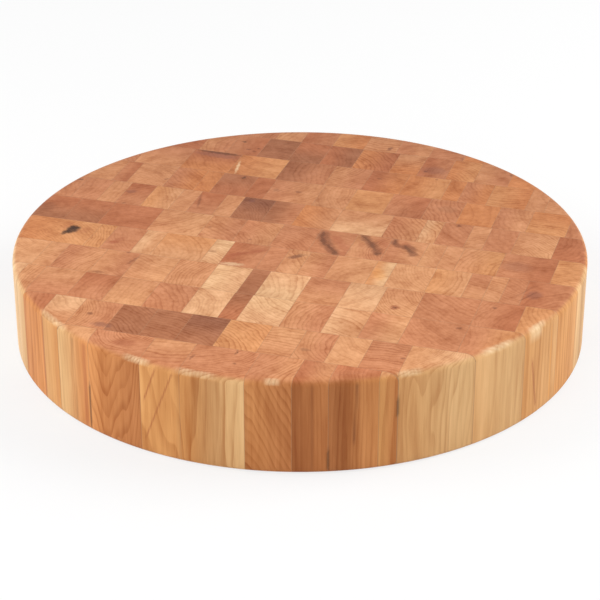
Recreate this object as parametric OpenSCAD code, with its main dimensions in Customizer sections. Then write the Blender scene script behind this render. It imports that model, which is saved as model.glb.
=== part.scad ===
// Round end-grain chopping block, glued up from upright maple blocks in courses.
// Every block stands with its grain upright, so both faces show end grain and the
// rim shows long grain. The origin is the centre of the underside, +Z is up, and the
// courses run along X. All sizes are in millimetres.

/* [Board] */
// Diameter of the board across its rim
board_d = 457.2; // [400:0.1:500]
// Thickness from the underside to the working face
board_t = 76.2; // [40:0.1:110]
// Radius of the eased edge round the working face
top_edge_r = 6; // [1:0.5:12]
// Radius of the eased edge round the underside
base_edge_r = 3.5; // [1:0.5:12]

/* [Courses] */
// Width of one course of blocks, from front to back
course_w = 42.25; // [36:0.05:50]
// How far the middle course lies behind the centre of the board
course_shift = 2; // [-15:0.25:15]
// How far all the joints across the courses are moved to the right
joint_shift = 0; // [-15:0.25:15]
// Narrowest piece of wood that is left outside the last joint at the rim
least_block = 8; // [3:0.5:20]
// Thickness of the cured glue between two blocks
glue_t = 0.15; // [0.05:0.05:0.5]

/* [Hidden] */
$fn = 240;
board_r = board_d / 2;
middle_course = 5;

// Wood tones that the blocks were sorted into: the letter in a course's string of
// tones, the word in the node's name, and the colour.
TONES = [
    ["p", "pale",  "#E8C79C"],
    ["h", "honey", "#DDA468"],
    ["t", "tan",   "#CF9A6C"],
    ["b", "brown", "#B97C54"],
    ["d", "dark",  "#9C6244"],
];

// Diameter, course width and course shift of the board that the cut list is drawn for.
DRAWN = [457.2, 42.25, 2];

// The cut list, from the front course to the back one. Each course gives its joints in
// millimetres from the board's centre line, left to right, and one tone letter for each
// block, so it has one more letter than it has joints.
CUTS = [
    [[-98, -52, -20, 28, 61, 85.5, 118],
        "hbtthtbp"],
    [[-148, -123.5, -93, -65.5, -38, -8.5, 24.5, 50, 75, 100, 129.5],
        "bptdddhtbhbp"],
    [[-190, -174, -141, -112, -80, -48, -19.5, -5, 28, 60, 88, 118, 162],
        "phtbhtpbptptbb"],
    [[-188, -172.5, -140, -112, -79, -47.5, -19, -4.5, 28, 60, 88.5, 118, 162, 195.5],
        "tptthtpbptptbbh"],
    [[-162, -148, -122, -105.5, -63, -48, -18, -2, 15.5, 37.5, 70, 85, 117, 145.5, 161.5,
        174.5, 190],
        "hhbphpbbtttpthtbhb"],
    [[-197, -167, -124, -81, -51.5, -20, 12, 42.5, 71, 101, 116, 130, 163, 205.5],
        "ddbttttbbbpthbh"],
    [[-208, -184.5, -168.5, -146, -121.5, -105.5, -83, -67.5, -40.5, -15, 17.5, 61, 89.5,
        104, 128, 143, 166, 198.5],
        "tbtbhtbhdbhpbpbtbtd"],
    [[-188, -174.5, -142, -115, -100, -70, -53, -10, 18, 50.5, 83, 112, 142, 169.5, 202],
        "tbtthddbthbbhthb"],
    [[-183.5, -142, -98.5, -55, -12, 20.5, 53.5, 89.5, 104, 128, 161, 177],
        "htbhbtbhtbhtt"],
    [[-139, -114, -85.5, -57, -28.5, 0.5, 34, 58.5, 83.5, 108.5, 137.5],
        "bttdbdhtbpth"],
    [[-81.5, -57.5, -28.5, 0, 29, 59, 89.5],
        "htbhttth"],
];

// A seam is cut only where it leaves enough wood outside it, so the outer courses and
// the outer blocks of each course run on to the rim.
function seam_at(i, shift, w) = shift + (i - middle_course - 0.5) * w;
function seam_y(i) = seam_at(i, course_shift, course_w);
function half_chord(y, r) = sqrt(max(r * r - y * y, 0));
SEAMS = [for (i = [1 : len(CUTS) - 1]) if (abs(seam_y(i)) < board_r - least_block) i];
COURSES = [for (c = [SEAMS[0] - 1 : SEAMS[len(SEAMS) - 1]]) c];
past_rim = board_r + least_block;

function front_y(c) = c == COURSES[0] ? -past_rim : seam_y(c);
function back_y(c) = c == COURSES[len(COURSES) - 1] ? past_rim : seam_y(c + 1);
function widest(front, back, r) =
    front < 0 && back > 0 ? r : half_chord(min(abs(front), abs(back)), r);
function widest_half(c) = widest(front_y(c), back_y(c), board_r);

// Half the course's width on the board as drawn, whose outer courses run past its rim.
function drawn_half(c) = widest(
    c == 0 ? -DRAWN[0] : seam_at(c, DRAWN[2], DRAWN[1]),
    c == len(CUTS) - 1 ? DRAWN[0] : seam_at(c + 1, DRAWN[2], DRAWN[1]),
    DRAWN[0] / 2);

// The joints keep their share of the course's width when the board or the courses change.
function spread(c) = widest_half(c) / drawn_half(c);
function joint_x(c, i) = CUTS[c][0][i] * spread(c) + joint_shift;
function joints(c) = [for (i = [0 : len(CUTS[c][0]) - 1])
    if (abs(joint_x(c, i)) < widest_half(c) - least_block * spread(c)) i];

// Block i of a course lies between joints i - 1 and i of its list.
function blocks(c) = let (j = joints(c)) [for (i = [j[0] : j[len(j) - 1] + 1]) i];
function left_x(c, i) = i == blocks(c)[0] ? -past_rim : joint_x(c, i - 1) + glue_t / 2;
function right_x(c, i) =
    i == blocks(c)[len(blocks(c)) - 1] ? past_rim : joint_x(c, i) - glue_t / 2;
function toned_blocks(c, tone) = [for (i = blocks(c)) if (CUTS[c][1][i] == tone[0]) i];

function course_name(c, tone) = str("course_", c < 9 ? "0" : "", c + 1, "_", tone[1], "_blocks");

// The turned blank: a disc whose two rims are eased.
module blank() {
    rotate_extrude() {
        translate([0, base_edge_r])
            square([board_r, board_t - top_edge_r - base_edge_r]);
        square([board_r - base_edge_r, base_edge_r]);
        translate([0, board_t - top_edge_r])
            square([board_r - top_edge_r, top_edge_r]);
        eased_corner(base_edge_r, base_edge_r);
        eased_corner(top_edge_r, board_t - top_edge_r);
    }
}

// Quarter round of an eased edge, in the half section of the blank.
module eased_corner(r, z) {
    intersection() {
        translate([board_r - r, z]) circle(r);
        translate([board_r - r, z - r]) square([r, 2 * r]);
    }
}

// One upright block, cut off at the rim where it reaches that far.
module block(c, i) {
    x0 = left_x(c, i);
    x1 = right_x(c, i);
    y0 = front_y(c) + glue_t / 2;
    y1 = back_y(c) - glue_t / 2;
    far_corner = norm([max(abs(x0), abs(x1)), max(abs(y0), abs(y1))]);
    if (far_corner < board_r - max(top_edge_r, base_edge_r))
        translate([x0, y0, 0]) cube([x1 - x0, y1 - y0, board_t]);
    else
        intersection() {
            translate([x0, y0, 0]) cube([x1 - x0, y1 - y0, board_t]);
            blank();
        }
}

// The blocks of one tone in one course, each a solid of its own.
module course_blocks(c, tone) {
    color(tone[2])
        for (i = toned_blocks(c, tone)) block(c, i);
}

// The lattice of cured glue that fills the seams and joints between the blocks.
module glue_lines() {
    color("#8A5A3A")
        intersection() {
            linear_extrude(board_t) {
                for (i = SEAMS)
                    translate([-past_rim, seam_y(i) - glue_t / 2])
                        square([2 * past_rim, glue_t]);
                for (c = COURSES) for (i = joints(c))
                    translate([joint_x(c, i) - glue_t / 2, front_y(c)])
                        square([glue_t, back_y(c) - front_y(c)]);
            }
            blank();
        }
}

for (c = COURSES) for (tone = TONES) if (len(toned_blocks(c, tone)) > 0)
    course_blocks(c, tone);
glue_lines();
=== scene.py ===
import math

import bpy
import numpy as np
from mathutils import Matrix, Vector


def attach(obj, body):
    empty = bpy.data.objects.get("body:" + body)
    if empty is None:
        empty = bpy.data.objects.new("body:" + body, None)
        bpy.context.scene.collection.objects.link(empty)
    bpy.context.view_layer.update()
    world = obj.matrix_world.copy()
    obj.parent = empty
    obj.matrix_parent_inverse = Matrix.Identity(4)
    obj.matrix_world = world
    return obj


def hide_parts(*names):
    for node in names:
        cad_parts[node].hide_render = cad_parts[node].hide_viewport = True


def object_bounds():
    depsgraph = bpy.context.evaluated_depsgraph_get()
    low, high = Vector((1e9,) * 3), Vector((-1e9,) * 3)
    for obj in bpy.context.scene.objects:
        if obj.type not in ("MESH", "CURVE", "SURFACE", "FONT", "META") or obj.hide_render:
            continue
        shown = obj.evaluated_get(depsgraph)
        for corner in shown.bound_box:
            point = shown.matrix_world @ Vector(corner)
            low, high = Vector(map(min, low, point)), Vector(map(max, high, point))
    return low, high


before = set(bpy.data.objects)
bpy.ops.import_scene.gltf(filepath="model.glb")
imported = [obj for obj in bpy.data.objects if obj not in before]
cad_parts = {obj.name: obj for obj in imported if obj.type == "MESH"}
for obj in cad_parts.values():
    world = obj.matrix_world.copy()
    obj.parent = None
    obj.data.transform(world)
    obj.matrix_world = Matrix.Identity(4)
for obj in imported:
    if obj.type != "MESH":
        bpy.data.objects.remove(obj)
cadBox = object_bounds()

# The round chopping block: upright maple blocks in eleven courses, and the glue between them.

mm = 0.001
board = {
    "topEase": 0.006,       # radius of the eased edge round the working face
    "baseEase": 0.0035,     # radius of the eased edge round the underside
    "easeSteps": 8,         # rows of faces across an eased edge
    "easeOver": 1.25,       # the crowded rows reach this share of the eased edge
    "wallSteps": 20,        # rows of faces down the rim
    "plainStep": 0.006,     # grid on a block with no marks
    "markedStep": 0.0009,   # grid on a block that carries marks
    "rimStep": 0.0016,      # grid along the rim
    "sharpAngle": 35,       # degrees between two faces that leave a sharp edge
}
radius = (cadBox[1].x - cadBox[0].x + cadBox[1].y - cadBox[0].y) / 4
thickness = cadBox[1].z

# Wood colours on the end grain. Down the rim the long grain is lighter and yellower.
tones = {
    "cream": "#E4BC92",
    "pale": "#DFB188",
    "peach": "#D7A176",
    "honey": "#D49A6A",
    "amber": "#CE8C5C",
    "tan": "#CF966D",
    "clay": "#C68964",
    "rust": "#BA7854",
    "brown": "#AA7252",
    "dark": "#96634A",
}
# Share of red, green and blue that the end grain keeps, at the front and at the back. The drop from
# front to back is painted shade, where less lamp light reaches.
endToneAndBackShade = {"front": (0.97, 0.87, 0.78), "back": (0.71, 0.61, 0.54)}

rimTones = {
    "straw": "#E0BA8C",
    "wheat": "#D6AA76",
    "sand": "#D09C66",
    "gold": "#CF945A",
    "orange": "#C88650",
    "chestnut": "#B57444",
    "russet": "#A5663A",
}

# One look for each block of a course, left to right. Two tones fade into each other across
# the block: > from left to right, ^ from front to back.
courseLooks = {
    1: "peach clay clay^tan clay clay>tan rust>tan clay^rust peach",
    2: "clay>rust tan^pale tan>clay brown brown brown^dark honey tan^peach tan>clay peach clay "
       "peach>pale",
    3: "pale peach>tan clay^tan clay^rust peach^tan clay pale rust^brown pale^cream tan>clay "
       "pale>peach clay>peach clay clay>honey",
    4: "peach peach>tan clay>tan tan>clay tan>peach tan cream>pale brown cream^pale tan^clay pale "
       "peach^tan clay clay>rust honey",
    5: "amber>honey honey clay pale>peach peach^honey pale^cream rust>clay clay tan>peach tan>clay "
       "tan>peach honey>cream peach honey>peach tan^clay tan clay rust>clay",
    6: "brown^rust brown^rust rust tan>peach tan>clay clay>tan clay clay tan>clay clay>tan peach>tan "
       "tan tan>honey clay>rust honey",
    7: "clay clay tan clay^rust honey>peach tan clay^rust tan brown^dark brown>clay amber>tan pale^tan "
       "clay>tan pale>peach clay tan clay tan>peach rust",
    8: "tan clay>rust tan clay>amber amber rust^brown rust clay>tan tan honey clay>rust clay amber "
       "clay>tan honey^amber clay",
    9: "clay tan^clay amber^rust amber>honey brown>clay tan>clay rust>amber amber>honey amber "
       "clay>amber honey>amber tan tan",
    10: "rust tan>clay clay>rust brown brown^rust rust>brown amber>rust amber^tan rust>clay amber>honey "
        "tan>clay amber",
    11: "clay peach>tan rust>clay honey>amber tan clay>tan clay amber",
}

# Tones of the long grain where a block shows on the rim, by course and place from the left.
rimLooks = {
    (4, 1): "straw", (3, 1): "straw", (3, 2): "straw>wheat", (2, 1): "orange", (2, 2): "sand>gold",
    (1, 1): "wheat>orange", (1, 2): "orange>chestnut", (1, 3): "gold", (1, 4): "gold>wheat",
    (1, 5): "orange>chestnut", (1, 6): "russet>chestnut", (1, 7): "russet>orange",
    (1, 8): "gold>orange", (2, 12): "sand>wheat", (3, 14): "sand>wheat", (4, 15): "gold>sand",
    (5, 18): "gold", (6, 15): "wheat", (5, 1): "wheat", (6, 1): "orange", (7, 1): "gold",
    (7, 19): "orange",
}

# Blocks whose growth rings stand out: pith in millimetres from the block's middle, ring
# spacing in millimetres, strength, and how the rings lean with height.
ringLooks = {
    (1, 2): (6, 22, 2.3, 1.0, -0.13),
    (1, 4): (-30, 55, 2.6, 0.8, 0.0),
    (1, 5): (-60, 30, 3.2, 0.9, 0.35),
    (1, 3): (-10, 60, 5.5, 0.9, 0.10),
    (2, 4): (-30, -45, 3.4, 1.0, 0.0),
    (2, 5): (-15, -80, 3.6, 0.9, 0.0),
    (2, 6): (-25, -75, 3.4, 1.0, 0.0),
    (2, 7): (-45, -48, 3.4, 1.0, 0.0),
    (2, 8): (0, -90, 3.8, 0.8, 0.0),
    (2, 11): (5, -90, 3.2, 0.9, 0.0),
    (2, 12): (-60, 40, 1.6, 0.6, 0.0),
    (4, 3): (60, -30, 3.0, 0.8, 0.0),
    (6, 14): (0, 70, 3.0, 0.6, 0.0),
    (6, 13): (60, -20, 3.6, 0.7, 0.0),
    (7, 13): (-60, -45, 3.8, 1.0, 0.0),
    (7, 14): (-60, -35, 3.6, 0.9, 0.0),
    (8, 15): (-10, -70, 3.4, 0.7, 0.0),
    (9, 6): (-50, 40, 3.4, 0.7, 0.0),
    (10, 7): (-50, -40, 3.6, 0.9, 0.0),
}
# The other blocks draw theirs at random: between two values, or with that spread. Lengths
# are in metres, and slope is how fast a block's colour changes across it, per metre.
ringRange = {"pith": (0.03, 0.09), "spacing": (0.0024, 0.0048), "strength": (0.3, 0.8),
             "lean": 0.02, "slope": 1.5}

# Colours of the marks on the wood, and cream, which also paints the highlight on the eased edge.
markAndGlintColours = {
    "black": "#2B1710",
    "umber": "#6F3D28",
    "rust": "#9A4F32",
    "plum": "#6E4540",
    "smoke": "#855A40",
    "cream": "#EBD0A6",
    "amber": "#DE9440",
}

# Marks on the working face by course, in millimetres: x, y, half length, half width,
# turn in degrees, stain, and strength.
faceMarks = {
    1: [(11.5, -192, 4.5, 0.5, 90, "black", 0.8), (15, -208, 1.5, 1.2, 0, "umber", 0.7),
        (-71, -202, 9, 5, 10, "rust", 0.5), (-17, -208, 4, 1.0, 80, "umber", 0.7)],
    2: [(-112, -167, 2, 1.6, 0, "umber", 0.8), (-97, -181, 8, 3.5, 0, "plum", 0.55),
        (57, -174, 4, 2, 0, "smoke", 0.5), (127.5, -166, 1.5, 1.5, 0, "umber", 0.7)],
    3: [(155.5, -110, 2, 1.8, 0, "umber", 0.8)],
    4: [(-133, -101, 6.5, 1.6, 5, "umber", 0.6), (-122.5, -62.5, 1.5, 1.2, 0, "umber", 0.8),
        (-114, -75, 7.5, 1.4, 75, "umber", 0.6), (102, -92, 4, 3.5, 20, "rust", 0.8),
        (102, -92, 3.6, 0.5, 40, "black", 0.7), (102, -92, 3.0, 0.5, -45, "black", 0.7),
        (174, -71, 2, 1.6, 0, "umber", 0.8), (210, -91, 8, 4, 60, "cream", 0.6)],
    5: [(-181.5, -36, 7.5, 4.8, 72, "black", 1.1), (-185, -42, 5, 2.4, 68, "black", 0.95),
        (-182, -32, 4.5, 3.5, 0, "black", 0.95), (-177, -37, 4, 1.2, 80, "smoke", 0.6),
        (-188, -30, 7, 2.5, 85, "rust", 0.35), (-171, -33, 7, 3.5, 80, "rust", 0.35),
        (-141, -48, 5, 2.6, 20, "rust", 0.8), (-138, -42, 6, 3.5, 60, "rust", 0.4),
        (-33, -36, 17, 2.6, 34, "rust", 0.65), (-42, -45, 8, 4, 60, "rust", 0.45),
        (-26, -28, 8, 4, 20, "rust", 0.4),
        (-38, -58, 9, 3, 5, "cream", 0.5), (6, -31, 6.5, 2.6, 38, "umber", 0.9),
        (10, -27, 5, 2.6, 30, "smoke", 0.4), (198, -42, 7, 6, 70, "plum", 0.45),
        (194, -45, 12, 0.8, 62, "umber", 0.6), (190, -38, 12, 0.8, 64, "umber", 0.4),
        (-60, -41, 3, 2, 0, "smoke", 0.5), (77, -42, 5, 10, 20, "amber", 0.35)],
    6: [(29, 8, 9, 4.5, 120, "rust", 0.5), (38, -4, 8, 4, 125, "rust", 0.4),
        (40, -16, 5, 4, 120, "rust", 0.4), (66, 12, 8, 3.5, 125, "rust", 0.35),
        (50, 4, 5, 3, 110, "rust", 0.3), (84, 16, 5, 3, 130, "rust", 0.4),
        (16, 12, 9, 5.4, 100, "umber", 0.78), (22, 0, 9, 5.4, 120, "umber", 0.78),
        (30, -12, 9, 4.8, 130, "umber", 0.78), (15, 14, 7, 1.6, 97, "black", 0.45),
        (19, 2, 8, 1.8, 116, "black", 0.45), (28, -8, 8, 1.6, 130, "black", 0.45),
        (34, -17, 5, 2.2, 120, "black", 0.45), (23, 6, 6, 1.0, 112, "smoke", 0.3),
        (50, 17, 8, 4.2, 125, "umber", 0.78), (58, 7, 8, 4.8, 122, "umber", 0.78),
        (65, -4, 7, 4.2, 105, "umber", 0.78), (50, 17, 7, 1.4, 130, "black", 0.45),
        (59, 5, 9, 1.7, 118, "black", 0.45), (66, -8, 3.5, 2.4, 100, "black", 0.45),
        (74, 17, 6, 3.2, 95, "umber", 0.78), (79, 11, 6, 3, 155, "umber", 0.78),
        (88, 9, 8, 4.8, 132, "umber", 0.78), (93, 0, 5, 4, 110, "umber", 0.78),
        (74, 18, 5, 1.3, 98, "black", 0.45), (87, 8, 8, 1.7, 128, "black", 0.45),
        (-77, 1, 1.6, 1.3, 0, "umber", 0.6), (-38, -12, 1.6, 1.3, 0, "umber", 0.6),
        (-79, -14, 3, 2, 20, "rust", 0.5), (176, 2, 12, 9, 0, "plum", 0.25),
        (-218, -1, 9, 6, 90, "umber", 0.35)],
    7: [(-214, 59, 2.6, 2, 0, "black", 0.7), (-64, 60, 3, 2.4, 0, "umber", 0.85),
        (-60, 60, 3, 3, 0, "plum", 0.5), (-102, 47, 13.5, 1.2, 103, "umber", 0.7),
        (-161, 25, 1.5, 1.2, 0, "umber", 0.7), (-163, 48, 5, 3, 20, "plum", 0.5),
        (116, 62, 2.2, 1.8, 0, "umber", 0.9)],
    8: [(-81.5, 103, 2.5, 1.5, 80, "black", 0.75), (-28, 88, 2.5, 1.5, 0, "umber", 0.8),
        (-47, 86, 4, 2.5, 0, "smoke", 0.45), (-144, 81, 2.4, 0.9, 60, "umber", 0.8),
        (100, 90, 8, 6, 0, "smoke", 0.3)],
    9: [(-119, 148, 21, 3.0, -4, "black", 0.75), (-119, 142, 21, 4.5, -4, "plum", 0.5),
        (-94, 123, 13.5, 1.2, 99, "cream", 0.6), (30, 135, 2, 1.6, 0, "umber", 0.7),
        (77, 147, 1.4, 1.1, 0, "umber", 0.7)],
    10: [(-106, 178, 2.2, 1.7, 0, "black", 0.7), (-97, 163, 2.2, 1.7, 0, "umber", 0.8),
         (-91, 160, 2, 1.5, 0, "umber", 0.8), (-89, 167, 2, 1.5, 0, "umber", 0.8),
         (64, 161, 2, 1.7, 0, "umber", 0.8), (71, 165, 11, 8, 0, "plum", 0.4),
         (137, 174, 2.2, 1.8, 0, "umber", 0.8)],
    11: [(22, 200, 4, 2, 80, "umber", 0.85), (88, 197, 1.8, 1.5, 0, "umber", 0.7)],
}

# Marks down the rim: degrees round from +X, highest and lowest millimetre above the middle,
# width in millimetres, how many degrees the lower end has moved, stain, and strength.
rimMarks = [
    (-115.3, 2, -36, 0.9, -0.2, "black", 0.75), (-116.6, 34, -36, 3.0, 0.0, "rust", 0.45),
    (-119.8, 34, -36, 0.9, 0.3, "umber", 0.45), (-130.4, 34, -36, 1.1, 0.0, "rust", 0.55),
    (-125.6, 34, -36, 2.6, 0.0, "rust", 0.25), (-99.8, 34, 6, 0.8, -2.6, "rust", 0.7),
    (-96.3, 34, -26, 0.8, -6.0, "rust", 0.65), (-68.0, -18, -36, 1.3, 0.0, "black", 0.6),
    (-63.0, 35, -15, 1.0, -0.3, "umber", 0.6), (-55.4, 19, 3, 1.2, 0.0, "black", 0.75),
    (-24.5, 12, -30, 1.4, 2.0, "rust", 0.55), (-71.0, 36, -36, 1.2, 0.0, "umber", 0.3),
    (-139.9, 34, -36, 0.8, 0.0, "rust", 0.4), (-18.0, 30, -34, 1.0, 0.5, "amber", 0.5),
]
# Painted highlights on the eased edge: pale patches that stand in for light glancing off the curve.
# Degrees round from +X, and half their length in degrees.
edgeHighlights = [(-127, 4.5), (-104, 3), (-92, 4), (-78, 1.5), (-53, 2.5), (-34, 4), (-22, 2)]
edgeHighlightStrength = 0.6


def linearColour(text):
    # The colour curve of a screen undone: each channel c becomes ((c + 0.055) / 1.055) to the 2.4.
    c = np.array([int(text[i:i + 2], 16) for i in (1, 3, 5)]) / 255
    return np.where(c <= 0.04045, c / 12.92, ((c + 0.055) / 1.055) ** 2.4)


def ramp(low, high, value):
    # Smooth step: 0 below low, 1 above high, and 3 t^2 - 2 t^3 in between.
    t = np.clip((value - low) / (high - low), 0, 1)
    return t * t * (3 - 2 * t)


def blockBoxes(name):
    # Vertices at one place share a number, and each triangle hands its lowest number to its
    # corners until nothing changes: what then shares a number is one block.
    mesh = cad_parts[name].data
    co = np.empty(len(mesh.vertices) * 3)
    mesh.vertices.foreach_get("co", co)
    co = co.reshape(-1, 3)
    loops = np.empty(len(mesh.loops), int)
    mesh.loops.foreach_get("vertex_index", loops)
    place = np.unique(np.round(co * 1e6).astype(int), axis=0, return_inverse=True)[1].reshape(-1)
    corners = place[loops].reshape(-1, 3)
    label = np.arange(place.max() + 1)
    settled = False
    while not settled:
        lower = label.copy()
        np.minimum.at(lower, corners, label[corners].min(axis=1)[:, None])
        settled = (lower == label).all()
        label = lower
    own = label[place]
    return [(co[own == k].min(axis=0), co[own == k].max(axis=0)) for k in np.unique(own)]


def faceDrop(r, ease):
    # How far a face has rounded away at distance r from the centre: e (1 - sqrt(1 - t^2)),
    # where t runs from 0 to 1 across the last e of the radius.
    t = np.clip((r - (radius - ease)) / ease, 0, 1)
    return ease * (1 - np.sqrt(1 - t * t))


def spread(low, high, step):
    return np.linspace(low, high, max(int(math.ceil((high - low) / step)), 1) + 1)


def reachesRim(low, high):
    # The block's far corner lies within the eased edge, or past the circle.
    far = np.hypot(max(abs(low[0]), abs(high[0])), max(abs(low[1]), abs(high[1])))
    return far > radius - board["topEase"] - 1 * mm


def footprint(low, high, step):
    # Points of a block seen from above. Lines are ruled across the block towards the rim:
    # each runs from the block's inner side out to its outer side or to the circle
    # sqrt(R^2 - u^2), whichever comes first, with its points crowded at the rim end.
    centre = (low + high) / 2
    ruleX = abs(centre[0]) > abs(centre[1])
    inner, outer = (0, 1) if ruleX else (1, 0)
    sign = 1 if centre[inner] >= 0 else -1
    far = max(sign * low[inner], sign * high[inner])
    near = min(sign * low[inner], sign * high[inner])
    u = spread(low[outer], high[outer], step)
    chord = np.sqrt(np.clip(radius ** 2 - u ** 2, 0, None))
    end = np.minimum(far, chord)
    start = np.minimum(np.maximum(near, -chord), end)
    length = end - start
    turn = np.linspace(math.pi / 2, 0, board["easeSteps"] + 1)
    eased = board["topEase"] * (1 - np.sin(turn)) * board["easeOver"]
    if reachesRim(low, high):
        # On a short line the crowded rows close up, so that they fill under half of it.
        share = np.minimum(1, length / (2.5 * eased[-1]))[:, None]
        back = eased[None, :] * share
        rows = spread(0, 1, step / max(length.max(), step))[1:]
        rest = back[:, -1:] + (length[:, None] - back[:, -1:]) * rows[None, :]
        back = np.concatenate([back, rest], axis=1)
    else:
        back = length[:, None] * spread(0, 1, step / max(length.max(), step))[None, :]
    w = sign * (end[:, None] - back)
    uu = np.broadcast_to(u[:, None], w.shape)
    x, y = (w, uu) if ruleX else (uu, w)
    flipped = (sign > 0) == ruleX    # which way round the grid's corners run
    return x.copy(), y.copy(), flipped


def blockMesh(low, high, step):
    # A block is its footprint grid twice, as working face and underside, each rounded away
    # near the rim, and a wall of rows that joins the two along the grid's border.
    x, y, flipped = footprint(low, high, step)
    r = np.hypot(x, y)
    top = thickness - faceDrop(r, board["topEase"])
    base = faceDrop(r, board["baseEase"])
    n, m = x.shape
    index = np.arange(n * m).reshape(n, m)
    ring = np.concatenate([index[:, 0], index[-1, 1:], index[-2::-1, -1], index[0, -2:0:-1]])
    steps = board["wallSteps"] if reachesRim(low, high) else 1
    share = np.linspace(0, 1, steps + 1)[1:-1]
    fx, fy, ft, fb = x.ravel(), y.ravel(), top.ravel(), base.ravel()
    wallZ = ft[ring][None, :] * (1 - share[:, None]) + fb[ring][None, :] * share[:, None]
    wallX = np.broadcast_to(fx[ring], wallZ.shape)
    wallY = np.broadcast_to(fy[ring], wallZ.shape)
    verts = np.concatenate([
        np.stack([fx, fy, ft], axis=1),
        np.stack([wallX.ravel(), wallY.ravel(), wallZ.ravel()], axis=1),
        np.stack([fx, fy, fb], axis=1)])
    under = n * m + wallZ.size
    a, b = index[:-1, :-1].ravel(), index[1:, :-1].ravel()
    c, d = index[1:, 1:].ravel(), index[:-1, 1:].ravel()
    upper = np.stack([a, b, c, d], axis=1)
    lower = np.stack([d, c, b, a], axis=1) + under
    rows = [ring] + [n * m + k * len(ring) + np.arange(len(ring)) for k in range(len(share))]
    rows.append(ring + under)
    walls = [np.stack([hi, lo, np.roll(lo, -1), np.roll(hi, -1)], axis=1)
             for hi, lo in zip(rows[:-1], rows[1:])]
    faces = np.concatenate([upper, lower] + walls)
    if flipped:
        faces = faces[:, ::-1]
    return verts, faces


def layStain(mask, colour, own, stain):
    # One more stain laid over the others: m becomes m + s - m s, and the colour follows.
    own = np.minimum(own, 1)
    colour = colour * (1 - own[:, None]) + linearColour(markAndGlintColours[stain]) * own[:, None]
    return mask + own - mask * own, colour


def faceStain(verts, marks):
    # Each mark is an ellipse turned in the plane, its outline loosened and its strength
    # mottled by a few sine waves. It fades out over its own border and 12 mm down.
    mask = np.zeros(len(verts))
    colour = np.zeros((len(verts), 3))
    depth = ramp(thickness - 12 * mm, thickness - 6 * mm, verts[:, 2])
    px, py = verts[:, 0] / mm, verts[:, 1] / mm
    wobbleX = 0.6 * np.sin(0.9 * py + 0.7 * px) + 0.35 * np.sin(2.3 * py - 1.1 * px + 1)
    wobbleY = 0.6 * np.sin(0.8 * px - 0.6 * py + 2) + 0.35 * np.sin(2.1 * px + 1.3 * py)
    mottle = 0.8 + 0.2 * np.sin(1.9 * px + 1.4 * py) * np.sin(1.1 * px - 2.3 * py + 1)
    for x, y, halfLength, halfWidth, turn, stain, strength in marks:
        a = math.radians(turn)
        loose = min(halfWidth / 2.5, 1)
        dx, dy = px - x + wobbleX * loose, py - y + wobbleY * loose
        along = (dx * math.cos(a) + dy * math.sin(a)) / halfLength
        across = (-dx * math.sin(a) + dy * math.cos(a)) / halfWidth
        own = (1 - ramp(0.55, 1.35, np.hypot(along, across))) * strength * depth * mottle
        mask, colour = layStain(mask, colour, own, stain)
    return mask, colour


def rimStain(verts):
    # A mark follows the grain: a thin upright line that may slant, faded at its two ends.
    mask = np.zeros(len(verts))
    colour = np.zeros((len(verts), 3))
    angle = np.degrees(np.arctan2(verts[:, 1], verts[:, 0]))
    height = (verts[:, 2] - thickness / 2) / mm
    outside = ramp(radius - 4 * mm, radius - 0.5 * mm, np.hypot(verts[:, 0], verts[:, 1]))
    for degrees, high, low, width, slant, stain, strength in rimMarks:
        line = degrees + slant * np.clip((high - height) / (high - low), 0, 1)
        away = np.radians(np.abs(angle - line)) * radius / mm
        own = (1 - ramp(width * 0.3, width * 1.1, away)) * ramp(low - 2, low + 3, height)
        own = own * (1 - ramp(high - 3, high + 2, height)) * strength * outside
        mask, colour = layStain(mask, colour, own, stain)
    return mask, colour


def lookTone(look, palette, verts):
    # One tone, or two that fade into each other over the middle part of the block.
    for sign, axis in ((">", 0), ("^", 1)):
        if sign in look:
            first, second = (linearColour(palette[word]) for word in look.split(sign))
            low, high = verts[:, axis].min(), verts[:, axis].max()
            share = ramp(0.1, 0.9, (verts[:, axis] - low) / (high - low))[:, None]
            return first * (1 - share) + second * share
    return np.tile(linearColour(palette[look]), (len(verts), 1))


def paintedEdgeHighlight(verts, t):
    # Painted highlight: pale patches on the eased edge, strongest half way round the curve, where light
    # glances off it.
    angle = np.degrees(np.arctan2(verts[:, 1], verts[:, 0]))
    reach = np.zeros(len(verts))
    for degrees, half in edgeHighlights:
        wave = 0.75 + 0.25 * np.sin(angle * 9 + degrees)
        reach = np.maximum(reach, (1 - ramp(0.4, 1.2, np.abs(angle - degrees) / half)) * wave)
    upper = ramp(0.5 * thickness, 0.7 * thickness, verts[:, 2])
    return reach * ramp(0.25, 0.55, t) * (1 - ramp(0.86, 0.98, t)) * upper * edgeHighlightStrength


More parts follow.
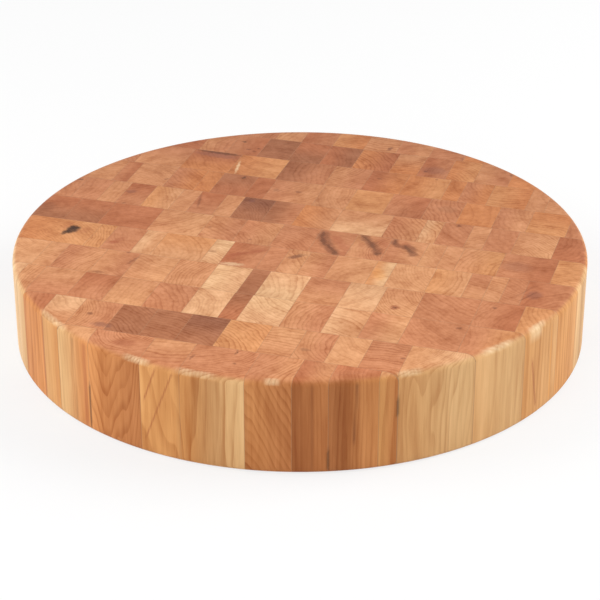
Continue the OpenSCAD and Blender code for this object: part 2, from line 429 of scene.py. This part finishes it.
def woodTones(verts, look, rimLook, marks, lean):
    # End grain on the flat faces, darker towards the back as painted shade, and long grain down the rim.
    # One changes into the other where the eased edge, with t from 0 to 1 across it, has turned
    # half way. A soft gradient crosses each block.
    t = np.clip((np.hypot(verts[:, 0], verts[:, 1]) - (radius - board["topEase"]))
                / board["topEase"], 0, 1)
    side = ramp(0.45, 0.95, t)[:, None]
    # Painted shade: the end grain darkens from front to back, where less lamp light reaches.
    back = np.clip(verts[:, 1:2] / (2 * radius) + 0.5, 0, 1)
    depthAndShade = np.array(endToneAndBackShade["front"]) * (1 - back) + np.array(endToneAndBackShade["back"]) * back
    endTone, longTone = lookTone(look, tones, verts), lookTone(rimLook, rimTones, verts)
    tone = endTone * depthAndShade * (1 - side) + longTone * side
    middle = (verts.max(axis=0) + verts.min(axis=0)) / 2
    slope = (verts[:, :2] - middle[:2]) @ lean
    tone = tone * (1 + np.clip(slope, -0.10, 0.10))[:, None]
    # Painted highlight: cream laid on the eased edge in place of light glancing off it.
    highlight = paintedEdgeHighlight(verts, t)[:, None]
    tone = tone * (1 - highlight) + linearColour(markAndGlintColours["cream"]) * highlight
    stain = np.zeros(len(verts))
    for mask, colour in (faceStain(verts, marks), rimStain(verts)):
        whole = np.where(mask > 1e-4, mask, 1)
        tone = tone * (1 - mask[:, None]) + colour / whole[:, None] * mask[:, None]
        stain = np.maximum(stain, mask)
    return np.concatenate([np.clip(tone, 0, 1), np.ones((len(verts), 1))], axis=1), stain


def addAttribute(mesh, name, kind, field, values):
    made = mesh.attributes.new(name, kind, "POINT")
    made.data.foreach_set(field, np.ascontiguousarray(values, dtype=np.float32).ravel())


def addPiece(name, verts, faces, sharpAngle):
    mesh = bpy.data.meshes.new(name)
    mesh.from_pydata(verts.tolist(), [], faces.tolist())
    mesh.validate()
    mesh.update()
    mesh.polygons.foreach_set("use_smooth", np.ones(len(mesh.polygons), bool))
    mesh.set_sharp_from_angle(angle=math.radians(sharpAngle))
    piece = bpy.data.objects.new(name, mesh)
    bpy.context.scene.collection.objects.link(piece)
    return piece


# Shader nodes, with a short way to write sums.

def socketOf(tree, value, socket):
    if isinstance(value, bpy.types.NodeSocket):
        tree.links.new(value, socket)
    else:
        socket.default_value = value


def sumNode(tree, operation, *values):
    made = tree.nodes.new("ShaderNodeMath")
    made.operation = operation
    for value, socket in zip(values, made.inputs):
        socketOf(tree, value, socket)
    return made.outputs[0]


def vectorNode(tree, operation, *values):
    made = tree.nodes.new("ShaderNodeVectorMath")
    made.operation = operation
    for value, socket in zip(values, made.inputs):
        socketOf(tree, value, socket)
    return made.outputs[0]


def smoothNode(tree, value, low, high, outLow=0.0, outHigh=1.0):
    made = tree.nodes.new("ShaderNodeMapRange")
    made.interpolation_type = "SMOOTHSTEP"
    for socket, number in zip(made.inputs[:5], (value, low, high, outLow, outHigh)):
        socketOf(tree, number, socket)
    return made.outputs[0]


def noiseNode(tree, vector, scale, detail=2.0, roughness=0.5):
    made = tree.nodes.new("ShaderNodeTexNoise")
    tree.links.new(vector, made.inputs["Vector"])
    made.inputs["Scale"].default_value = scale
    made.inputs["Detail"].default_value = detail
    made.inputs["Roughness"].default_value = roughness
    return made.outputs["Fac"]


def mixNode(tree, factor, first, second, blend="MIX"):
    made = tree.nodes.new("ShaderNodeMix")
    made.data_type = "RGBA"
    made.blend_type = blend
    socketOf(tree, factor, made.inputs[0])
    socketOf(tree, first, made.inputs[6])
    socketOf(tree, second, made.inputs[7])
    return made.outputs[2]


def newGroup(name, inputs, outputs):
    group = bpy.data.node_groups.new(name, "ShaderNodeTree")
    for label, kind in inputs:
        group.interface.new_socket(name=label, in_out="INPUT", socket_type=kind)
    for label, kind in outputs:
        group.interface.new_socket(name=label, in_out="OUTPUT", socket_type=kind)
    return group, group.nodes.new("NodeGroupInput"), group.nodes.new("NodeGroupOutput")


grainShape = {
    "ripple": 0.012,        # how far the rings stray from circles, in metres
    "rippleScale": 45.0,
    "wideScale": 80.0,      # soft patches
    "fineScale": 260.0,     # small clouding
    "poreScale": 1700.0,
    "rayScale": 4.0,
}


def makeGrainGroup():
    # Growth rings are cylinders round an upright pith: the ring's phase is the distance from
    # the pith over the ring spacing. Pores are specks drawn out along the grain, and rays are
    # noise on the angle about the pith.
    group, given, out = newGroup("uprightGrain", [
        ("Position", "NodeSocketVector"), ("Pith", "NodeSocketVector"), ("Rings", "NodeSocketVector")], [
        ("Ring", "NodeSocketFloat"), ("Band", "NodeSocketFloat"), ("Pore", "NodeSocketFloat"),
        ("Ray", "NodeSocketFloat"), ("Cloud", "NodeSocketFloat")])
    place = group.nodes.new("ShaderNodeSeparateXYZ")
    group.links.new(given.outputs["Position"], place.inputs[0])
    pith = group.nodes.new("ShaderNodeSeparateXYZ")
    group.links.new(given.outputs["Pith"], pith.inputs[0])
    rings = group.nodes.new("ShaderNodeSeparateXYZ")
    group.links.new(given.outputs["Rings"], rings.inputs[0])
    seed = pith.outputs["Z"]
    shift = group.nodes.new("ShaderNodeCombineXYZ")
    for socket in shift.inputs:
        group.links.new(seed, socket)
    moved = vectorNode(group, "ADD", given.outputs["Position"], shift.outputs[0])
    stretched = vectorNode(group, "MULTIPLY", moved, (1.0, 1.0, 0.12))
    warp = sumNode(group, "SUBTRACT", noiseNode(group, stretched, grainShape["rippleScale"]), 0.5)
    ripple = sumNode(group, "MULTIPLY", warp, grainShape["ripple"])
    dx = sumNode(group, "SUBTRACT", place.outputs["X"], pith.outputs["X"])
    dy = sumNode(group, "SUBTRACT", place.outputs["Y"], pith.outputs["Y"])
    distance = sumNode(group, "SQRT", sumNode(group, "ADD", sumNode(group, "MULTIPLY", dx, dx),
                                              sumNode(group, "MULTIPLY", dy, dy)))
    tapered = sumNode(group, "MULTIPLY_ADD", place.outputs["Z"], rings.outputs["Z"], distance)
    phase = sumNode(group, "DIVIDE", sumNode(group, "ADD", tapered, ripple), rings.outputs["X"])
    whole = sumNode(group, "FLOOR", phase)
    part = sumNode(group, "FRACT", phase)
    own = group.nodes.new("ShaderNodeTexWhiteNoise")
    own.noise_dimensions = "1D"
    group.links.new(sumNode(group, "ADD", whole, seed), own.inputs["W"])
    line = sumNode(group, "MULTIPLY", smoothNode(group, part, 0.35, 0.92),
                   smoothNode(group, part, 0.93, 1.0, 1.0, 0.0))
    ringLine = sumNode(group, "MULTIPLY", line,
                       sumNode(group, "MULTIPLY_ADD", own.outputs["Value"], 0.75, 0.25))
    broad = group.nodes.new("ShaderNodeTexNoise")
    broad.noise_dimensions = "1D"
    group.links.new(sumNode(group, "MULTIPLY_ADD", phase, 0.23, seed), broad.inputs["W"])
    broad.inputs["Scale"].default_value = 1.0
    drawn = vectorNode(group, "MULTIPLY", moved, (1.0, 1.0, 0.025))
    pore = smoothNode(group, noiseNode(group, drawn, grainShape["poreScale"], 2.0, 0.6), 0.52, 0.72)
    angle = sumNode(group, "ARCTAN2", dy, dx)
    polar = group.nodes.new("ShaderNodeCombineXYZ")
    group.links.new(sumNode(group, "MULTIPLY", angle, 60.0), polar.inputs[0])
    group.links.new(sumNode(group, "MULTIPLY", distance, 40.0), polar.inputs[1])
    group.links.new(sumNode(group, "MULTIPLY", place.outputs["Z"], 20.0), polar.inputs[2])
    ray = smoothNode(group, noiseNode(group, polar.outputs[0], grainShape["rayScale"]), 0.5, 0.8)
    wide = noiseNode(group, stretched, grainShape["wideScale"], 3.0)
    longer = vectorNode(group, "MULTIPLY", moved, (1.0, 1.0, 0.05))
    fine = noiseNode(group, longer, grainShape["fineScale"], 3.0, 0.6)
    cloud = sumNode(group, "MULTIPLY_ADD", wide, 0.55, sumNode(group, "MULTIPLY", fine, 0.45))
    for label, value in (("Ring", sumNode(group, "MULTIPLY", ringLine, rings.outputs["Y"])),
                         ("Band", broad.outputs["Fac"]), ("Pore", pore), ("Ray", ray), ("Cloud", cloud)):
        group.links.new(value, out.inputs[label])
    return group


grainGroup = makeGrainGroup()

finish = {
    "ringDepth": 0.7,    # how much a growth ring darkens the wood
    "bandDepth": 0.8,    # broad light and dark bands between rings
    "poreDepth": 0.16,
    "rayDepth": 0.10,
    "cloudDepth": 2.5,
    "deeper": (0.60, 0.42, 0.30, 1),    # what the dark parts of the grain keep of the tone
    "paler": (1.35, 1.5, 1.7, 1),       # and what the pale parts raise it to
    "underStain": 0.3,                  # share of the grain that shows through a stain
    "seamWidth": 0.00045,               # darkened wood beside a glue line
    "seamDepth": 0.16,
    "seamTone": (0.16, 0.075, 0.035, 1),
    "specular": 0.12,
    "roughness": 0.52,
    "poreRough": 0.14,
    "cloudRough": 0.15,
    "bump": 0.10,
    "bumpHeight": 0.0004,
}


def makeMaple(name):
    material = bpy.data.materials.new(name)
    material.use_nodes = True
    tree = material.node_tree
    shader = tree.nodes["Principled BSDF"]
    place = tree.nodes.new("ShaderNodeTexCoord").outputs["Object"]

    def attribute(label, output):
        made = tree.nodes.new("ShaderNodeAttribute")
        made.attribute_name = label
        return made.outputs[output]

    grain = tree.nodes.new("ShaderNodeGroup")
    grain.node_tree = grainGroup
    tree.links.new(place, grain.inputs["Position"])
    tree.links.new(attribute("pith", "Vector"), grain.inputs["Pith"])
    tree.links.new(attribute("rings", "Vector"), grain.inputs["Rings"])
    tone = attribute("tone", "Color")
    stain = attribute("stain", "Fac")
    clear = sumNode(tree, "SUBTRACT", 1.0, stain)
    dark = sumNode(tree, "MULTIPLY", grain.outputs["Ring"], finish["ringDepth"])
    dark = sumNode(tree, "MULTIPLY_ADD", grain.outputs["Pore"], finish["poreDepth"], dark)
    dark = sumNode(tree, "MULTIPLY_ADD", grain.outputs["Ray"], finish["rayDepth"], dark)
    band = sumNode(tree, "SUBTRACT", grain.outputs["Band"], 0.5)
    dark = sumNode(tree, "MULTIPLY_ADD", band, finish["bandDepth"], dark)
    cloud = sumNode(tree, "SUBTRACT", grain.outputs["Cloud"], 0.5)
    dark = sumNode(tree, "MULTIPLY_ADD", cloud, finish["cloudDepth"], dark)
    shown = sumNode(tree, "MULTIPLY_ADD", clear, 1 - finish["underStain"], finish["underStain"])
    dark = sumNode(tree, "MULTIPLY", dark, shown)
    shaded = mixNode(tree, dark, tone, mixNode(tree, 1.0, tone, finish["deeper"], "MULTIPLY"))
    pale = sumNode(tree, "MULTIPLY", dark, -1.0)
    shaded = mixNode(tree, pale, shaded, mixNode(tree, 1.0, shaded, finish["paler"], "MULTIPLY"))
    # Beside a glue line the wood is a little darker.
    split = tree.nodes.new("ShaderNodeSeparateXYZ")
    tree.links.new(place, split.inputs[0])
    gaps = []
    for label, axis in (("spanX", "X"), ("spanY", "Y")):
        span = tree.nodes.new("ShaderNodeSeparateXYZ")
        tree.links.new(attribute(label, "Vector"), span.inputs[0])
        for end in ("X", "Y"):
            gap = sumNode(tree, "SUBTRACT", split.outputs[axis], span.outputs[end])
            gaps.append(sumNode(tree, "ABSOLUTE", gap))
    nearest = sumNode(tree, "MINIMUM", sumNode(tree, "MINIMUM", gaps[0], gaps[1]),
                      sumNode(tree, "MINIMUM", gaps[2], gaps[3]))
    seam = smoothNode(tree, nearest, 0.0, finish["seamWidth"], finish["seamDepth"], 0.0)
    shaded = mixNode(tree, seam, shaded, finish["seamTone"])
    tree.links.new(shaded, shader.inputs["Base Color"])
    rough = sumNode(tree, "MULTIPLY_ADD", grain.outputs["Pore"], finish["poreRough"],
                    finish["roughness"])
    rough = sumNode(tree, "MULTIPLY_ADD", cloud, finish["cloudRough"], rough)
    tree.links.new(rough, shader.inputs["Roughness"])
    shader.inputs["Specular IOR Level"].default_value = finish["specular"]
    height = sumNode(tree, "MULTIPLY_ADD", grain.outputs["Pore"], -1.0,
                     sumNode(tree, "MULTIPLY", grain.outputs["Ring"], -0.5))
    bump = tree.nodes.new("ShaderNodeBump")
    bump.inputs["Strength"].default_value = finish["bump"]
    bump.inputs["Distance"].default_value = finish["bumpHeight"]
    tree.links.new(height, bump.inputs["Height"])
    tree.links.new(bump.outputs[0], shader.inputs["Normal"])
    return material


glueFinish = {
    "dark": (0.26, 0.13, 0.06, 1),
    "pale": (0.48, 0.26, 0.13, 1),
    "blotchScale": 90.0,
    "roughness": (0.4, 0.6),
}


def makeGlue():
    material = bpy.data.materials.new("curedGlue")
    material.use_nodes = True
    tree = material.node_tree
    shader = tree.nodes["Principled BSDF"]
    place = tree.nodes.new("ShaderNodeTexCoord").outputs["Object"]
    blotch = noiseNode(tree, place, glueFinish["blotchScale"], 3.0)
    tone = mixNode(tree, blotch, glueFinish["dark"], glueFinish["pale"])
    tree.links.new(tone, shader.inputs["Base Color"])
    rough = smoothNode(tree, blotch, 0.2, 0.8, *glueFinish["roughness"])
    tree.links.new(rough, shader.inputs["Roughness"])
    return material


# The blocks, course by course.

courseNodes = {}
for node in sorted(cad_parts):
    if node != "glue_lines":
        courseNodes.setdefault(int(node.split("_")[1]), []).append(node)

woods = sorted({node.split("_")[2] for nodes in courseNodes.values() for node in nodes})
maple = {wood: makeMaple("maple" + wood.capitalize()) for wood in woods}
dice = np.random.default_rng(18)
markReach = 4    # how far past its own length a mark is still looked for, in millimetres


def dressBlock(course, place, low, high, marks):
    # One block's mesh with its own colours, ring pattern and outline.
    left, right = low[0] / mm - markReach, high[0] / mm + markReach
    mine = [m for m in marks if left < m[0] + m[2] and m[0] - m[2] < right]
    edge = "rimStep" if reachesRim(low, high) else "plainStep"
    step = board["markedStep" if mine else edge]
    verts, faces = blockMesh(low, high, step)
    middle = (low + high) / 2
    bearing, reach = dice.uniform(0, 2 * math.pi), dice.uniform(*ringRange["pith"])
    px, py = reach * math.cos(bearing), reach * math.sin(bearing)
    rings = [dice.uniform(*ringRange["spacing"]), dice.uniform(*ringRange["strength"]),
             dice.normal(0, ringRange["lean"])]
    if (course, place) in ringLooks:
        px, py, spacing, strength, leaning = ringLooks[course, place]
        px, py, rings = px * mm, py * mm, [spacing * mm, strength, leaning]
    look = courseLooks[course].split()[place - 1]
    rimLook = rimLooks.get((course, place), "gold" if "amber" in look or "rust" in look else "sand")
    tone, stain = woodTones(verts, look, rimLook, mine, dice.normal(0, ringRange["slope"], 2))
    n = len(verts)
    return verts, faces, {
        "tone": tone, "stain": stain,
        "pith": np.tile([middle[0] + px, middle[1] + py, dice.uniform(1, 40)], (n, 1)),
        "rings": np.tile(rings, (n, 1)),
        "spanX": np.tile([low[0], high[0], 0], (n, 1)),
        "spanY": np.tile([low[1], high[1], 0], (n, 1))}


blockCount = 0
for course, nodes in sorted(courseNodes.items()):
    blocks = sorted((tuple(low), tuple(high), node)
                    for node in nodes for low, high in blockBoxes(node))
    dressed = {node: [] for node in nodes}
    for place, (low, high, node) in enumerate(blocks, 1):
        dressed[node].append(dressBlock(course, place, np.array(low), np.array(high),
                                        faceMarks.get(course, [])))
    blockCount += len(blocks)
    for node in nodes:
        wood = node.split("_")[2]
        parts = dressed[node]
        starts = np.cumsum([0] + [len(verts) for verts, faces, fields in parts])
        piece = addPiece(node.replace("_blocks", "_wood"),
                         np.concatenate([verts for verts, faces, fields in parts]),
                         np.concatenate([part[1] + start for part, start in zip(parts, starts)]),
                         board["sharpAngle"])
        fields = {label: np.concatenate([part[2][label] for part in parts]) for label in parts[0][2]}
        addAttribute(piece.data, "tone", "FLOAT_COLOR", "color", fields.pop("tone"))
        addAttribute(piece.data, "stain", "FLOAT", "value", fields.pop("stain"))
        for label, values in fields.items():
            addAttribute(piece.data, label, "FLOAT_VECTOR", "vector", values)
        piece.data.materials.append(maple[wood])
        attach(piece, "root")
        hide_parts(node)
print("blocks made:", blockCount)

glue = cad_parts["glue_lines"]
glueMaterial = makeGlue()
if glue.data.materials:
    glue.data.materials[0] = glueMaterial
else:
    glue.data.materials.append(glueMaterial)
print("glue finished")

# Floor, light and camera.

studio = {
    "floorSide": 12.0,
    "floorTone": (0.82, 0.82, 0.82, 1),
    "floorRoughness": 0.9,
    "floorWhite": 0.72,    # share of plain white in what the camera sees of the floor
    "lamps": [    # name, watts, side in metres, place
        ("leftLamp", 30.0, 1.4, (-1.9, -0.7, 1.5)),
        ("rightLamp", 40.0, 1.4, (1.75, 0.75, 1.3)),
        ("frontLamp", 16.0, 1.4, (-0.8, -2.0, 1.0)),
    ],
    "worldStrength": 0.5,
}


def seenRay(tree):
    path = tree.nodes.new("ShaderNodeLightPath")
    return sumNode(tree, "MAXIMUM", path.outputs["Is Camera Ray"], path.outputs["Is Glossy Ray"])


def makeFloor():
    # A pale floor that carries the block's shadow. The camera sees it mostly as plain white.
    side = studio["floorSide"] / 2
    verts = np.array([(-side, -side, 0), (side, -side, 0), (side, side, 0), (-side, side, 0)])
    floor = addPiece("floor", verts, np.array([(0, 1, 2, 3)]), 30)
    material = bpy.data.materials.new("studioFloor")
    material.use_nodes = True
    tree = material.node_tree
    shader = tree.nodes["Principled BSDF"]
    shader.inputs["Base Color"].default_value = studio["floorTone"]
    shader.inputs["Roughness"].default_value = studio["floorRoughness"]
    shader.inputs["Specular IOR Level"].default_value = 0.0
    white = tree.nodes.new("ShaderNodeEmission")
    blend = tree.nodes.new("ShaderNodeMixShader")
    tree.links.new(sumNode(tree, "MULTIPLY", seenRay(tree), studio["floorWhite"]), blend.inputs[0])
    tree.links.new(shader.outputs[0], blend.inputs[1])
    tree.links.new(white.outputs[0], blend.inputs[2])
    tree.links.new(blend.outputs[0], tree.nodes["Material Output"].inputs["Surface"])
    floor.data.materials.append(material)


def makeLamp(name, power, size, place):
    lamp = bpy.data.lights.new(name, "AREA")
    lamp.energy = power
    lamp.size = size
    holder = bpy.data.objects.new(name, lamp)
    holder.location = place
    holder.rotation_mode = "QUATERNION"
    holder.rotation_quaternion = (-holder.location).to_track_quat("-Z", "Y")
    bpy.context.scene.collection.objects.link(holder)


def makeWorld():
    # What the camera and the reflections see is plain white, and the light is weaker.
    world = bpy.data.worlds.new("studioLight")
    world.use_nodes = True
    tree = world.node_tree
    background = tree.nodes["Background"]
    weak = studio["worldStrength"]
    strength = sumNode(tree, "MULTIPLY_ADD", seenRay(tree), 1 - weak, weak)
    background.inputs["Color"].default_value = (1, 1, 1, 1)
    tree.links.new(strength, background.inputs["Strength"])
    bpy.context.scene.world = world


lens = {
    "turn": 16.982,         # degrees round from straight in front, to the right
    "rise": 26.83,          # degrees above the floor
    "distance": 1.59644,    # metres from the middle of the block
    "focal": 118.4,         # millimetres
    "sensor": 36,
    "shiftY": -0.0302,
}


def makeCamera():
    camera = bpy.data.objects.new("camera", bpy.data.cameras.new("camera"))
    camera.data.lens = lens["focal"]
    camera.data.sensor_width = lens["sensor"]
    camera.data.shift_y = lens["shiftY"]
    turn, rise = math.radians(lens["turn"]), math.radians(lens["rise"])
    back = Vector((math.sin(turn) * math.cos(rise), -math.cos(turn) * math.cos(rise), math.sin(rise)))
    camera.location = Vector((0, 0, thickness / 2)) + back * lens["distance"]
    camera.rotation_mode = "QUATERNION"
    camera.rotation_quaternion = (-back).to_track_quat("-Z", "Y")
    bpy.context.scene.collection.objects.link(camera)
    bpy.context.scene.camera = camera


makeFloor()
for lamp in studio["lamps"]:
    makeLamp(*lamp)
makeWorld()
makeCamera()
bpy.context.scene.view_settings.view_transform = "Standard"
print("studio set")
